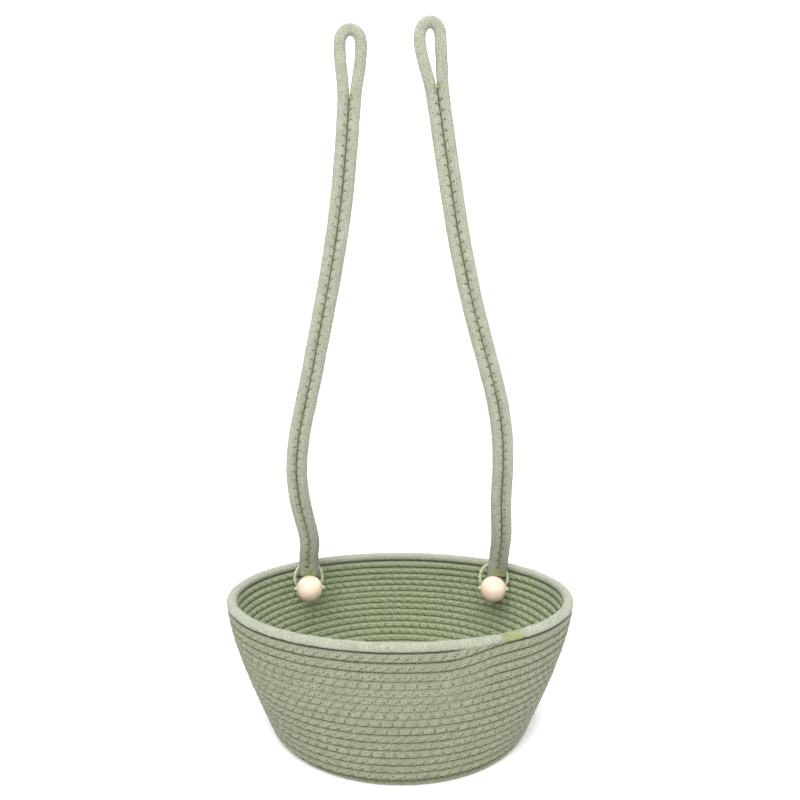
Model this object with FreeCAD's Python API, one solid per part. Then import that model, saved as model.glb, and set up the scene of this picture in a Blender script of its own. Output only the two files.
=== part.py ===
import FreeCAD, Part
import math
import os

from FreeCAD import Vector

# Hanging basket of coiled, sewn cotton rope.  Millimetres, +Z up, +Y to the rear,
# origin at the centre of the underside, where the basket rests.

# ---- driving dimensions ----
ROPE_R = 4.0            # radius of the free cotton rope
RIM_A = 128.0           # rim rope centre line, half width
RIM_B = 88.0            # rim rope centre line, half depth
RIM_Z = 99.0            # height of the rim rope's centre line
WALL_T = 7.6            # thickness of the sewn wall
WALL_TOP_Z = 97.5       # where the wall ends, nested under the rim rope
BASE_T = 8.0            # thickness of the coiled base
BASE_A = 88.0           # flat coil of the base, half width
BASE_B = 82.0           # flat coil of the base, half depth

# outer outline of the wall: height, half width, half depth
WALL_OUTLINE = [
    (0.0, 92.0, 86.0),
    (4.0, 98.0, 91.5),
    (8.0, 100.5, 93.0),
    (25.0, 107.9, 95.5),
    (50.0, 118.4, 97.5),
    (75.0, 127.1, 96.5),
    (91.5, 131.0, 93.5),
    (WALL_TOP_Z, 132.0, 92.0),
]

# rope end sewn down on the rim
TACK_T = 0.7            # how far a bar-tack's thread stands off the rope
RIM_TACK_DEG = 304.5    # place on the rim ellipse, as its parameter angle
RIM_TACK_SPAN = 8.5     # degrees of the same angle

# bead, its cord and the loop that buttons over it
BEAD_R = 10.5
BEAD_Z = 87.4
BEAD_AT = {"left": (-74.4, 43.6), "right": (76.6, 42.6)}
BEAD_TURN_DEG = 8.5     # how far the beads' cords run outwards from straight back
BORE_R = 1.27
BEAD_CORD_R = 1.2
CORD_BEND_R = 12.2      # the cord's bend round the back of the bead
SHANK_R = 2.2           # both cord ends together, on their way through the wall
HOLE_R = 2.3            # way through the wall between two rows of rope
KNOT_R = 3.6
KNOT_CLEAR = 0.7        # between the knot and the slanting wall
LOOP_R = 1.4            # radius of the button loop's cord
LOOP_RING_R = 10.4      # radius of the loop's own ring
LOOP_RING_Z = 93.8      # height of its middle: it hangs just under the bead's cord
LOOP_BEHIND = 14.5      # from the bead's centre back to the loop's plane
END_TACK_R = 4.6
END_TACK_W = 11.0
LOOP_TACK_W = 6.0
LOOP_TACK_H = 4.5
LOOP_TACK_D = 9.0

# centre line of each strap: x, y, z and half the distance between its two legs.
# The last row is the top of the hanging loop, where the rope turns back.
STRAPS = {
    "left": [
        (-74.8, 50.8, 102.5, 4.2),
        (-74.6, 48.2, 120.0, 4.1),
        (-75.0, 44.4, 138.0, 4.1),
        (-79.2, 40.6, 160.0, 4.1),
        (-82.8, 36.8, 188.0, 4.1),
        (-79.2, 32.8, 219.0, 4.1),
        (-70.6, 28.2, 254.0, 4.1),
        (-61.0, 23.0, 298.0, 4.1),
        (-51.0, 18.0, 345.0, 4.1),
        (-43.0, 13.4, 391.0, 4.1),
        (-38.8, 10.0, 429.0, 4.1),
        (-36.0, 7.6, 459.0, 4.1),
        (-35.4, 6.4, 472.0, 5.2),
        (-34.9, 5.6, 486.0, 6.9),
        (-34.5, 5.2, 498.0, 8.0),
        (-34.6, 5.0, 507.0, 7.8),
        (-34.8, 5.0, 512.6, 3.4),
    ],
    "right": [
        (79.0, 49.8, 102.5, 4.2),
        (80.4, 46.4, 120.0, 4.1),
        (81.6, 42.0, 138.0, 4.1),
        (80.6, 38.6, 162.0, 4.1),
        (81.8, 35.4, 190.0, 4.1),
        (80.2, 31.6, 222.0, 4.1),
        (73.8, 27.6, 254.0, 4.1),
        (63.0, 23.4, 290.0, 4.1),
        (52.4, 19.0, 328.0, 4.1),
        (43.4, 14.6, 368.0, 4.1),
        (36.4, 11.0, 408.0, 4.1),
        (30.4, 8.6, 444.0, 4.1),
        (26.6, 7.0, 468.0, 4.1),
        (24.0, 5.8, 482.0, 5.6),
        (21.8, 5.2, 494.0, 7.1),
        (20.6, 5.0, 505.0, 7.9),
        (20.8, 5.0, 512.5, 7.2),
        (21.0, 5.0, 517.6, 3.2),
    ],
}
LOOP_TACK_ROW = {"left": 11, "right": 12}   # row of the table where the legs part

SIDE_SIGN = {"left": -1.0, "right": 1.0}


def ellipse_wire(half_w, half_d, z):
    curve = Part.Ellipse(Vector(0, 0, z), half_w, half_d)
    return Part.Wire([curve.toShape()])


def wall_solid(inset, rows):
    wires = []
    for z, half_w, half_d in rows:
        wires.append(ellipse_wire(half_w - inset, half_d - inset, z))
    return Part.makeLoft(wires, True, False)


def rim_pipe(radius, start_deg=None, end_deg=None):
    """A round tube along the rim's ellipse, or along a stretch of it."""
    curve = Part.Ellipse(Vector(0, 0, RIM_Z), RIM_A, RIM_B)
    if start_deg is None:
        edge = curve.toShape()
    else:
        edge = curve.toShape(math.radians(start_deg), math.radians(end_deg))
    path = Part.Wire([edge])
    start = edge.valueAt(edge.FirstParameter)
    along = edge.tangentAt(edge.FirstParameter)
    ring = Part.Wire([Part.Circle(start, along, radius).toShape()])
    return path.makePipeShell([ring], True, True)


def rounded_path(points):
    """Straight runs joined by tangent arcs: returns the wire, its length and radii."""
    edges = []
    radii = []
    at = points[0]
    for before, corner, after in zip(points, points[1:], points[2:]):
        run_in = (corner - before).Length
        run_out = (after - corner).Length
        u = (corner - before).normalize()
        v = (after - corner).normalize()
        turn = u.getAngle(v)
        reach = 0.45 * min(run_in, run_out)
        radius = reach / math.tan(turn / 2)
        radii.append(radius)
        arc_start = corner - u * reach
        arc_end = corner + v * reach
        bisector = (v - u).normalize()
        centre_gap = math.hypot(radius, reach)
        arc_mid = corner + bisector * (centre_gap - radius)
        edges.append(Part.LineSegment(at, arc_start).toShape())
        edges.append(Part.Arc(arc_start, arc_mid, arc_end).toShape())
        at = arc_end
    edges.append(Part.LineSegment(at, points[-1]).toShape())
    wire = Part.Wire(edges)
    return wire, wire.Length, radii


def tube(wire, radius, start, along):
    ring = Part.Wire([Part.Circle(start, along, radius).toShape()])
    return wire.makePipeShell([ring], True, True)


def strap_route(rows):
    """Up one leg, round the hanging loop and down the other leg."""
    up = []
    down = []
    for x, y, z, half_gap in rows:
        up.append(Vector(x - half_gap, y, z))
        down.append(Vector(x + half_gap, y, z))
    return up + down[::-1]


def strap_rope(side):
    route = strap_route(STRAPS[side])
    wire, length, radii = rounded_path(route)
    along = route[1] - route[0]
    rope = tube(wire, ROPE_R, route[0], along)
    area = math.pi * ROPE_R ** 2
    print(side, "strap rope length", round(length, 1), "volume ratio", round(rope.Volume / (area * length), 4))
    print(side, "strap rope radii", [round(r, 1) for r in radii])
    for end in (route[0], route[-1]):
        rope = rope.fuse(Part.makeSphere(ROPE_R, end))
    return rope.removeSplitter()


def end_tack(side, rope):
    x, y, z, half_gap = STRAPS[side][0]
    band = Part.makeCylinder(END_TACK_R, END_TACK_W, Vector(x - END_TACK_W / 2, y, z), Vector(1, 0, 0))
    return band.cut(rope)


def loop_tack(side, rope):
    x, y, z, half_gap = STRAPS[side][LOOP_TACK_ROW[side]]
    low = Vector(x - LOOP_TACK_W / 2, y - LOOP_TACK_D / 2, z)
    block = Part.makeBox(LOOP_TACK_W, LOOP_TACK_D, LOOP_TACK_H, low)
    return block.cut(rope)


def bead_frame(side):
    """Direction of the bead's cord, the bore's direction and the bead's centre."""
    turn = math.radians(BEAD_TURN_DEG)
    normal = Vector(SIDE_SIGN[side] * math.sin(turn), math.cos(turn), 0)
    sideways = Vector(normal.y, -normal.x, 0)
    x, y = BEAD_AT[side]
    centre = Vector(x, y, BEAD_Z)
    return normal, sideways, centre


def button_loop(side):
    """A closed ring of thin cord, upright behind the bead."""
    normal, sideways, centre = bead_frame(side)
    middle = centre + normal * LOOP_BEHIND
    middle.z = LOOP_RING_Z
    print(side, "button loop length", round(2 * math.pi * LOOP_RING_R, 1))
    return Part.makeTorus(LOOP_RING_R, LOOP_R, middle, normal)


def bead(side):
    normal, sideways, centre = bead_frame(side)
    ball = Part.makeSphere(BEAD_R, centre)
    bore = Part.makeCylinder(BORE_R, 4 * BEAD_R, centre - sideways * (2 * BEAD_R), sideways)
    return ball.cut(bore)


def shank(side, radius):
    """Straight way from behind the bead, out through the wall, to the knot."""
    normal, sideways, centre = bead_frame(side)
    start = centre + normal * CORD_BEND_R
    return Part.makeCylinder(radius, knot_distance(side) - CORD_BEND_R, start, normal)


def knot_distance(side):
    """From the bead's centre to the middle of the knot, just outside the wall."""
    normal, sideways, centre = bead_frame(side)
    low, high = WALL_OUTLINE[5], WALL_OUTLINE[6]
    part = (BEAD_Z - low[0]) / (high[0] - low[0])
    half_w = low[1] + (high[1] - low[1]) * part
    half_d = low[2] + (high[2] - low[2]) * part
    square = (normal.x / half_w) ** 2 + (normal.y / half_d) ** 2
    slope = centre.x * normal.x / half_w ** 2 + centre.y * normal.y / half_d ** 2
    level = (centre.x / half_w) ** 2 + (centre.y / half_d) ** 2 - 1
    to_outside = (math.sqrt(slope ** 2 - square * level) - slope) / square
    return to_outside + KNOT_R + KNOT_CLEAR


def bead_cord(side):
    """Through the bead's bore, round behind the bead on both sides, and into the shank."""
    normal, sideways, centre = bead_frame(side)
    rod = Part.makeCylinder(BEAD_CORD_R, 2 * CORD_BEND_R, centre - sideways * CORD_BEND_R, sideways)
    left_end = centre - sideways * CORD_BEND_R
    right_end = centre + sideways * CORD_BEND_R
    back = centre + normal * CORD_BEND_R
    bend = Part.Wire([Part.Arc(left_end, back, right_end).toShape()])
    cord = rod.fuse(tube(bend, BEAD_CORD_R, left_end, normal))
    for corner in (left_end, right_end):
        cord = cord.fuse(Part.makeSphere(BEAD_CORD_R, corner))
    cord = cord.fuse(shank(side, SHANK_R))
    return cord.removeSplitter()


def bead_knot(side, cord):
    normal, sideways, centre = bead_frame(side)
    ball = Part.makeSphere(KNOT_R, centre + normal * knot_distance(side))
    return ball.cut(cord)


def basket_parts():
    rim = rim_pipe(ROPE_R)
    half = RIM_TACK_SPAN / 2
    tack_outer = rim_pipe(ROPE_R + TACK_T, RIM_TACK_DEG - half, RIM_TACK_DEG + half)
    tack = tack_outer.cut(rim)
    wall = wall_solid(0, WALL_OUTLINE)
    inner_rows = [(BASE_T, 100.5, 93.0)] + [row for row in WALL_OUTLINE if row[0] > BASE_T]
    wall = wall.cut(wall_solid(WALL_T, inner_rows))
    base = Part.Face(ellipse_wire(BASE_A, BASE_B, 0)).extrude(Vector(0, 0, BASE_T))
    wall = wall.cut(base).cut(rim).cut(tack_outer)
    for side in SIDE_SIGN:
        wall = wall.cut(shank(side, HOLE_R))
    return {"basket_base": base, "basket_wall": wall, "rim_rope": rim, "rim_tack": tack}


def strap_parts(side):
    rope = strap_rope(side)
    cord = bead_cord(side)
    return {
        side + "_strap_rope": rope,
        side + "_end_tack": end_tack(side, rope),
        side + "_loop_tack": loop_tack(side, rope),
        side + "_button_loop": button_loop(side),
        side + "_bead": bead(side),
        side + "_bead_cord": cord,
        side + "_bead_knot": bead_knot(side, cord),
    }


def main():
    os.makedirs("parts", exist_ok=True)
    nodes = basket_parts()
    for side in SIDE_SIGN:
        nodes.update(strap_parts(side))
        normal, sideways, centre = bead_frame(side)
        print(side, "bead centre", centre, "normal", normal, "sideways", sideways)
    for name, shape in nodes.items():
        solids = shape.Solids
        box = shape.BoundBox
        print(name, "valid", shape.isValid(), "solids", len(solids), "volume", round(shape.Volume, 1),
              "x", round(box.XMin, 1), round(box.XMax, 1), "y", round(box.YMin, 1), round(box.YMax, 1),
              "z", round(box.ZMin, 1), round(box.ZMax, 1))
        shape.exportStep("parts/" + name + ".step")


main()
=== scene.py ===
"""Hanging basket of coiled and sewn cotton rope, with two rope straps that button over wooden beads.

The visual model of the object, laid over its mechanical frame.  Every size below is in millimetres
and is turned into metres by MM, +Z is up and +Y is to the rear.
"""
import math

import bmesh
import bpy
import numpy as np
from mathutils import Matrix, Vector


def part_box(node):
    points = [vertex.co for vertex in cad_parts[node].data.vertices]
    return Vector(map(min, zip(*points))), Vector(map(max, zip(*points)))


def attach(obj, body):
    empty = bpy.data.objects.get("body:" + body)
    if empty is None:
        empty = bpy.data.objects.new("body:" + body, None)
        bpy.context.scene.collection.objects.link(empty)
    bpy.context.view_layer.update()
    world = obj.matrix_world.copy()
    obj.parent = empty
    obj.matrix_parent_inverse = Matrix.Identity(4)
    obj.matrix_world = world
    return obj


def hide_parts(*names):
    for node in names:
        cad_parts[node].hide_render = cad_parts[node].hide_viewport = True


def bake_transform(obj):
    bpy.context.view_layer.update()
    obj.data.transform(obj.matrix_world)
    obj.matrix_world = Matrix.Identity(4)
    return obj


bl_info = {
    "name": "Coiled Rope Hanging Basket",
    "version": (1, 0, 0),
    "blender": (4, 5, 0),
    "location": "3D View > Sidebar > Rope Basket",
    "description": "Builds a hanging basket of sewn rope on its mechanical frame",
    "category": "Object",
}

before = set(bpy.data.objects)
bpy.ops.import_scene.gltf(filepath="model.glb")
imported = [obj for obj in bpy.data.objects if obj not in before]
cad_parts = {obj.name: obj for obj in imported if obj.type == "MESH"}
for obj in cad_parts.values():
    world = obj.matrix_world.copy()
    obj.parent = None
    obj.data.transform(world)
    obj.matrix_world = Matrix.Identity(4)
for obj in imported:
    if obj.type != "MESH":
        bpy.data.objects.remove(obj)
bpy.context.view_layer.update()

MM = 0.001
SIDE_SIGN = {"left": -1.0, "right": 1.0}

# ---- basket: centre line of the coiled rope ----
BASE_Z = 4.0
BASE_TURNS = 14.4           # turns of the flat coil, from its middle out to the corner row
BASE_PITCH_A = 6.3          # growth of the half width, each turn
BASE_PITCH_B = 5.9          # growth of the half depth, each turn
WALL_TURNS = 16             # rows from the corner row up to the rim rope
# height, half width, half depth of the rope's centre line, from the corner row to the rim
WALL_LINE = [
    (4.2, 94.2, 87.7),
    (8.0, 96.7, 89.2),
    (25.0, 104.1, 91.7),
    (50.0, 114.6, 93.7),
    (75.0, 123.3, 92.7),
    (91.5, 127.2, 89.7),
    (99.0, 128.0, 88.0),
]
COIL_START_DEG = 304.5      # where each row gives way to the next, under the rim's tack
LEVEL_FROM_TURN = 7.0       # rows above this one run level and step up late
LEVEL_OVER_TURNS = 8.0
STEP_SHARE = 0.06           # share of a turn in which a level row steps up
ROW_HALF_T = 3.8            # half thickness of a sewn row, in and out
ROW_HALF_H = 3.25           # half height of a sewn row; rows press together
ROW_FLATNESS = 0.18         # how far a row's face is pressed flat
ROW_HOLE = -0.15            # height of the needle holes on a row, as a share of its half height
STITCH_PITCH = 7.7          # length of one zigzag along the seam
WALL_SPLITS = (5.5, 10.75)  # turns at which the wall's mesh is cut into three pieces

# ---- rim ----
RIM_Z = 99.3
RIM_A = 128.0
RIM_B = 88.0
RIM_R = 3.9
RIM_PRESS = 0.84            # the rim rope is pressed down on the row under it
RIM_HOLE = -0.8
RIM_TACK_DEG = 306.2
RIM_TACK_SPAN_DEG = 8.0
RIM_TACK_PINCH = 0.17       # how far the tack pulls the rim rope in
TACK_BAND = (96.0, 102.5)   # heights of the bar of thread at the lower end of a strap's seam

# ---- straps: centre line and half the distance between the two legs, from part to part ----
STRAPS = {
    "left": [
        (-75.6, 55.0, 93.5, 3.7),
        (-75.6, 49.4, 114.0, 3.6),
        (-72.8, 46.2, 127.0, 3.8),
        (-80.4, 40.6, 160.0, 4.2),
        (-82.8, 36.8, 188.0, 4.1),
        (-79.2, 32.8, 219.0, 4.1),
        (-70.6, 28.2, 254.0, 4.1),
        (-61.0, 23.0, 298.0, 4.1),
        (-51.0, 18.0, 345.0, 4.1),
        (-43.0, 13.4, 391.0, 4.1),
        (-38.8, 10.0, 429.0, 4.1),
        (-35.8, 7.6, 465.0, 4.1),
        (-35.2, 6.4, 477.0, 5.2),
        (-34.8, 5.6, 488.0, 6.8),
        (-34.6, 5.2, 498.0, 7.6),
        (-34.6, 5.0, 506.5, 7.3),
        (-34.8, 5.0, 511.4, 3.2),
    ],
    "right": [
        (80.4, 54.6, 93.5, 3.8),
        (82.0, 46.4, 120.0, 3.8),
        (82.6, 42.0, 138.0, 4.1),
        (80.6, 38.6, 162.0, 4.1),
        (81.8, 35.4, 190.0, 4.1),
        (80.2, 31.6, 222.0, 4.1),
        (73.8, 27.6, 254.0, 4.1),
        (63.0, 23.4, 290.0, 4.1),
        (52.4, 19.0, 328.0, 4.1),
        (43.4, 14.6, 368.0, 4.1),
        (36.4, 11.0, 408.0, 4.1),
        (30.4, 8.6, 444.0, 4.1),
        (26.2, 7.0, 472.0, 4.1),
        (24.0, 5.8, 484.0, 5.5),
        (21.9, 5.2, 495.0, 6.9),
        (20.9, 5.0, 504.5, 7.5),
        (20.9, 5.0, 511.8, 6.9),
        (21.0, 5.0, 516.4, 3.0),
    ],
}
NECK_ROW = {"left": 11, "right": 12}    # row of the table where the legs part
STRAP_R = 4.1
STRAP_PRESS = 1.05          # the two legs press together
STRAP_HOLE = -0.46
STRAP_STITCH_PITCH = 7.0
SEAM_FROM_Z = 109.0
LOOP_TACK_LOW = 0.6         # the neck's tack: how far above the neck, how high, how many turns
LOOP_TACK_HEIGHT = 2.6
LOOP_TACK_TURNS = 2.0

# ---- beads and the loops that button over them ----
BEAD_R = 10.5
BEAD_Z = 87.4
BEAD_AT = {"left": (-74.4, 43.6), "right": (76.6, 42.6)}
BEAD_TURN_DEG = 8.5         # how far the beads' cords run outwards from straight back
BORE_R = 1.27
BEAD_CORD_R = 1.0
CORD_BEND_R = 11.7
CORD_LAY = 0.0044            # metres
KNOT_WIDTH = 0.78
KNOT_DEPTH = 0.95
LOOP_CORD_R = 1.4
# half of the loop's route: distance from its middle, height, distance behind the bead's centre
LOOP_ROUTE = [
    (1.4, 103.4, 10.5),
    (5.0, 103.8, 11.4),
    (8.8, 101.2, 12.2),
    (11.2, 95.6, 12.6),
    (11.6, 89.6, 13.0),
    (9.0, 85.0, 13.8),
    (4.4, 83.4, 14.4),
    (0.0, 83.2, 14.5),
]

# ---- resolution ----
ROW_SPACING = 0.85
SEAM_SPACING = 1.2
ROW_SIDES = 18
ROPE_SIDES = 24
STRAND_SIDES = 10
SEAM_SIDES = 5
WRAP_SIDES = 6
WRAP_POINTS = 26.0          # points in each turn of a wrap

# ---- stitches in a rope: shares of its half height, unless told otherwise ----
SLOT_FADE = 0.12            # height over which a slot fades out
HOLE_HEIGHT = 0.27
HOLE_LENGTH = 1.3           # in slot widths
HOLE_DEPTH = 0.6            # in slot depths
HIGH_SLOT_SHARE = 0.6       # slots and holes of the upper seam are weaker than those of the lower
HIGH_HOLE_SHARE = 0.7
GROOVE_FADE = 0.14
UNEVENNESS_SCALE = 90.0
DIP_FROM = 0.55             # share of a zigzag's swing from which the thread dips into the rope
THREAD_R = 0.00021          # metres
STRAND_R = 0.54             # radius of a strand, and its distance from the middle, in cord radii
STRAND_AWAY = 0.47
WRAP_PITCH = 1.7            # from turn to turn, in thread radii
WRAP_SQUARING = 0.55

# ---- stage ----
LIGHTS = {                  # place, size in metres, power in watts
    "key": ((-0.5, -2.9, 3.4), 3.4, 270.0),
    "fill": ((2.2, -1.6, 1.2), 2.0, 14.0),
    "top": ((0.2, 0.1, 2.6), 1.6, 24.0),
}
LIGHTS_AIM = (0.0, 0.0, 0.2)
WORLD_STRENGTH = 0.45       # as it lights the object
WORLD_SEEN_MORE = 0.55      # added where the camera sees it
CAMERA_PLACE = (0.0, -0.600, 0.3464)
CAMERA_TILT_DEG = 81.0
CAMERA_LENS = 37.0
FLOOR_NEAR, FLOOR_FAR, FLOOR_HALF_WIDTH = -6.0, 1.6, 6.0
FLOOR_BEND = 0.5
FLOOR_TOP = 3.5
FLOOR_DROP = 0.0002


# =====================================================================================
# Node helpers
# =====================================================================================
class Field:
    """A node socket that takes part in arithmetic: each operation adds one node to its tree."""

    def __init__(self, tree, socket):
        self.tree = tree
        self.socket = socket

    def _node(self, kind, operation, *values):
        node = self.tree.nodes.new(kind)
        node.operation = operation
        for slot, value in zip(node.inputs, values):
            plug(self.tree, slot, value)
        return node

    def math(self, operation, *others):
        return Field(self.tree, self._node("ShaderNodeMath", operation, self, *others).outputs[0])

    def clamped(self):
        node = self._node("ShaderNodeMath", "ADD", self, 0.0)
        node.use_clamp = True
        return Field(self.tree, node.outputs[0])

    def vector(self, operation, *others):
        node = self._node("ShaderNodeVectorMath", operation, self, *others)
        return Field(self.tree, node.outputs[0])

    def scaled(self, factor):
        node = self._node("ShaderNodeVectorMath", "SCALE", self)
        plug(self.tree, node.inputs["Scale"], factor)
        return Field(self.tree, node.outputs[0])

    def split(self):
        node = self.tree.nodes.new("ShaderNodeSeparateXYZ")
        plug(self.tree, node.inputs[0], self)
        return [Field(self.tree, out) for out in node.outputs]

    def smooth(self, low, high):
        """0 below low, 1 above high and smooth between."""
        node = self.tree.nodes.new("ShaderNodeMapRange")
        node.interpolation_type = "SMOOTHSTEP"
        plug(self.tree, node.inputs["Value"], self)
        plug(self.tree, node.inputs["From Min"], low)
        plug(self.tree, node.inputs["From Max"], high)
        return Field(self.tree, node.outputs[0])

    def wrapped(self):
        """The distance to the nearest whole number, from -0.5 to 0.5."""
        return (self + 0.5).math("FRACT") - 0.5

    def pulse(self, half_width):
        """1 at zero, falling smoothly to 0 at half_width on both sides."""
        ratio = self / half_width
        return (1.0 - ratio * ratio).clamped().math("POWER", 1.5)

    def signed_power(self, power):
        return self.math("SIGN") * self.math("ABSOLUTE").math("POWER", power)

    def __add__(self, other):
        return self.math("ADD", other)

    def __sub__(self, other):
        return self.math("SUBTRACT", other)

    def __rsub__(self, other):
        return Field(self.tree, self._node("ShaderNodeMath", "SUBTRACT", other, self).outputs[0])

    def __mul__(self, other):
        return self.math("MULTIPLY", other)

    def __truediv__(self, other):
        return self.math("DIVIDE", other)

    __radd__ = __add__
    __rmul__ = __mul__


def plug(tree, slot, value):
    """Links a field into an input, or sets the input to a plain value."""
    if isinstance(value, Field):
        tree.links.new(value.socket, slot)
    else:
        slot.default_value = value


def add_node(tree, kind, inputs=None, **settings):
    """A node with its settings and its inputs, which are named or numbered."""
    node = tree.nodes.new(kind)
    for name, value in settings.items():
        setattr(node, name, value)
    for name, value in (inputs or {}).items():
        plug(tree, node.inputs[name], value)
    return node


def made(tree, kind, inputs=None, out=0, **settings):
    """A new node's output, as a field."""
    return Field(tree, add_node(tree, kind, inputs, **settings).outputs[out])


def geo(tree, kind, inputs=None, out=0, **settings):
    """The same for a geometry node, named without its prefix."""
    return made(tree, "GeometryNode" + kind, inputs, out, **settings)


def new_group(name, kind, inputs, outputs):
    """A node group; returns the tree, its inputs as fields and its output node.

    An input is given by its default, or like an output by the kind of its socket."""
    tree = bpy.data.node_groups.new(name, kind)
    new_socket = tree.interface.new_socket
    for label, value in inputs.items():
        socket_kind = value if isinstance(value, str) else {int: "Int", float: "Float"}[type(value)]
        socket = new_socket(label, in_out="INPUT", socket_type="NodeSocket" + socket_kind)
        if socket_kind != value:
            socket.default_value = value
    for label, socket_kind in outputs.items():
        new_socket(label, in_out="OUTPUT", socket_type="NodeSocket" + socket_kind)
    group_in = tree.nodes.new("NodeGroupInput")
    group_out = tree.nodes.new("NodeGroupOutput")
    return tree, {label: Field(tree, group_in.outputs[label]) for label in inputs}, group_out


def noise(tree, place, scale, detail, out=0):
    inputs = {"Vector": place, "Scale": scale, "Detail": detail}
    return made(tree, "ShaderNodeTexNoise", inputs, out)


BUILT = {}


def built(builder):
    """Each node group is built once."""
    if builder not in BUILT:
        BUILT[builder] = builder()
    return BUILT[builder]


def named(tree, name, data_type="FLOAT_VECTOR"):
    """Reads an attribute in a geometry tree."""
    return geo(tree, "InputNamedAttribute", {"Name": name}, data_type=data_type)


def store(tree, geometry, name, value, data_type="FLOAT_VECTOR"):
    """Writes an attribute on the points of a geometry."""
    inputs = {"Geometry": geometry, "Name": name, "Value": value}
    return geo(tree, "StoreNamedAttribute", inputs, data_type=data_type, domain="POINT")


def new_tree(name, inputs):
    """A geometry tree: a line comes in, and a shape in its material goes out."""
    inputs = {"Geometry": "Geometry", **inputs, "Material": "Material"}
    return new_group(name, "GeometryNodeTree", inputs, {"Geometry": "Geometry"})


def end_tree(tree, given, group_out, geometry):
    """Every tree ends smooth, real and in its material."""
    geometry = geo(tree, "SetShadeSmooth", {"Geometry": geometry})
    geometry = geo(tree, "RealizeInstances", {"Geometry": geometry})
    geometry = geo(tree, "SetMaterial", {"Geometry": geometry, "Material": given["Material"]})
    plug(tree, group_out.inputs[0], geometry)
    return tree


def resampled(tree, mesh, spacing):
    """A line of edges as a curve with points at even distances."""
    curve = geo(tree, "MeshToCurve", {"Mesh": mesh})
    return geo(tree, "ResampleCurve", {"Curve": curve, "Length": spacing}, mode="LENGTH")


def swept(tree, curve, sides, radius):
    """A round, closed tube along a curve."""
    ring = geo(tree, "CurvePrimitiveCircle", {"Resolution": sides, "Radius": radius})
    return geo(tree, "CurveToMesh", {"Curve": curve, "Profile Curve": ring, "Fill Caps": True})


def moved(tree, geometry, offset):
    return geo(tree, "SetPosition", {"Geometry": geometry, "Offset": offset})


# =====================================================================================
# Geometry trees
# =====================================================================================
def stitch_fields(ring, stitch, held, width, slant, hole):
    """Where the thread pulls the rope in: slanted slots, and the needle holes where they end."""
    upward = ring.split()[1]
    below, above, _ = stitch.split()
    held_below, held_above, _ = held.split()
    low_band = 1.0 - upward.smooth(hole, hole + SLOT_FADE)
    low_slot = (below - slant * (upward - hole)).wrapped().pulse(width) * low_band * held_below
    high_band = upward.smooth(-SLOT_FADE - hole, 0.0 - hole)
    high_slot = (above - 0.5 - slant * (upward + hole)).wrapped().pulse(width) * high_band * held_above
    long = width * HOLE_LENGTH
    low_dot = below.wrapped().pulse(long) * (upward - hole).pulse(HOLE_HEIGHT) * held_below
    high_dot = (above - 0.5).wrapped().pulse(long) * (upward + hole).pulse(HOLE_HEIGHT) * held_above
    return low_slot + high_slot * HIGH_SLOT_SHARE, (low_dot + high_dot * HIGH_HOLE_SHARE).clamped()


def rope_tree():
    """A sewn rope along a line: pillows between the stitches, with a slanted slot at each needle hole.

    The line's points carry "out" (away from the sewn sheet), "stitch" (the count of stitches in the
    seam below, in the seam above, and the length in metres) and "held" (how firmly it is sewn below,
    above, and the rope's relative size)."""
    tree, given, group_out = new_tree("rope_along_line", {
        "Half Thickness": ROW_HALF_T * MM,
        "Half Height": ROW_HALF_H * MM,
        "Sides": ROW_SIDES,
        "Flatness": ROW_FLATNESS,
        "Slot Depth": 0.16,
        "Slot Width": 0.12,
        "Slot Slant": 0.36,
        "Hole Height": ROW_HOLE,
        "Pillow": 0.03,
        "Unevenness": 0.0003,
    })
    curve = geo(tree, "MeshToCurve", {"Mesh": given["Geometry"]})
    here = geo(tree, "InputPosition")
    curve = store(tree, curve, "core", here)
    curve = store(tree, curve, "along", geo(tree, "InputTangent"))
    ring = geo(tree, "CurvePrimitiveCircle", {"Resolution": given["Sides"], "Radius": 1.0})
    ring = store(tree, ring, "ring", here)
    tube = geo(tree, "CurveToMesh", {"Curve": curve, "Profile Curve": ring, "Fill Caps": True})

    outward, upward, _ = named(tree, "ring").split()
    below, above, _ = named(tree, "stitch").split()
    held_below, held_above, size = named(tree, "held").split()
    slots, holes = stitch_fields(
        named(tree, "ring"), named(tree, "stitch"), named(tree, "held"),
        given["Slot Width"], given["Slot Slant"], given["Hole Height"])
    pinch_below = (below.wrapped() * 2.0).pulse(1.0) * (0.0 - upward).clamped() * held_below
    pinch_above = ((above - 0.5).wrapped() * 2.0).pulse(1.0) * upward.clamped() * held_above
    pulled = given["Slot Depth"] * (slots + holes * HOLE_DEPTH)
    girth = size * (1.0 - (pulled + given["Pillow"] * (pinch_below + pinch_above)))
    outward = outward.signed_power(1.0 - given["Flatness"])
    out = named(tree, "out")
    up = out.vector("CROSS_PRODUCT", named(tree, "along")).vector("NORMALIZE")
    across = out.scaled(outward * given["Half Thickness"] * girth)
    rise = up.scaled(upward * given["Half Height"] * girth)
    shift = noise(tree, named(tree, "core"), UNEVENNESS_SCALE, 1.0, "Color")
    shift = shift.vector("SUBTRACT", (0.5, 0.5, 0.5)).scaled(given["Unevenness"] * 2.0)
    place = named(tree, "core").vector("ADD", across).vector("ADD", rise).vector("ADD", shift)
    tube = geo(tree, "SetPosition", {"Geometry": tube, "Position": place})
    return end_tree(tree, given, group_out, tube)


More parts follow.
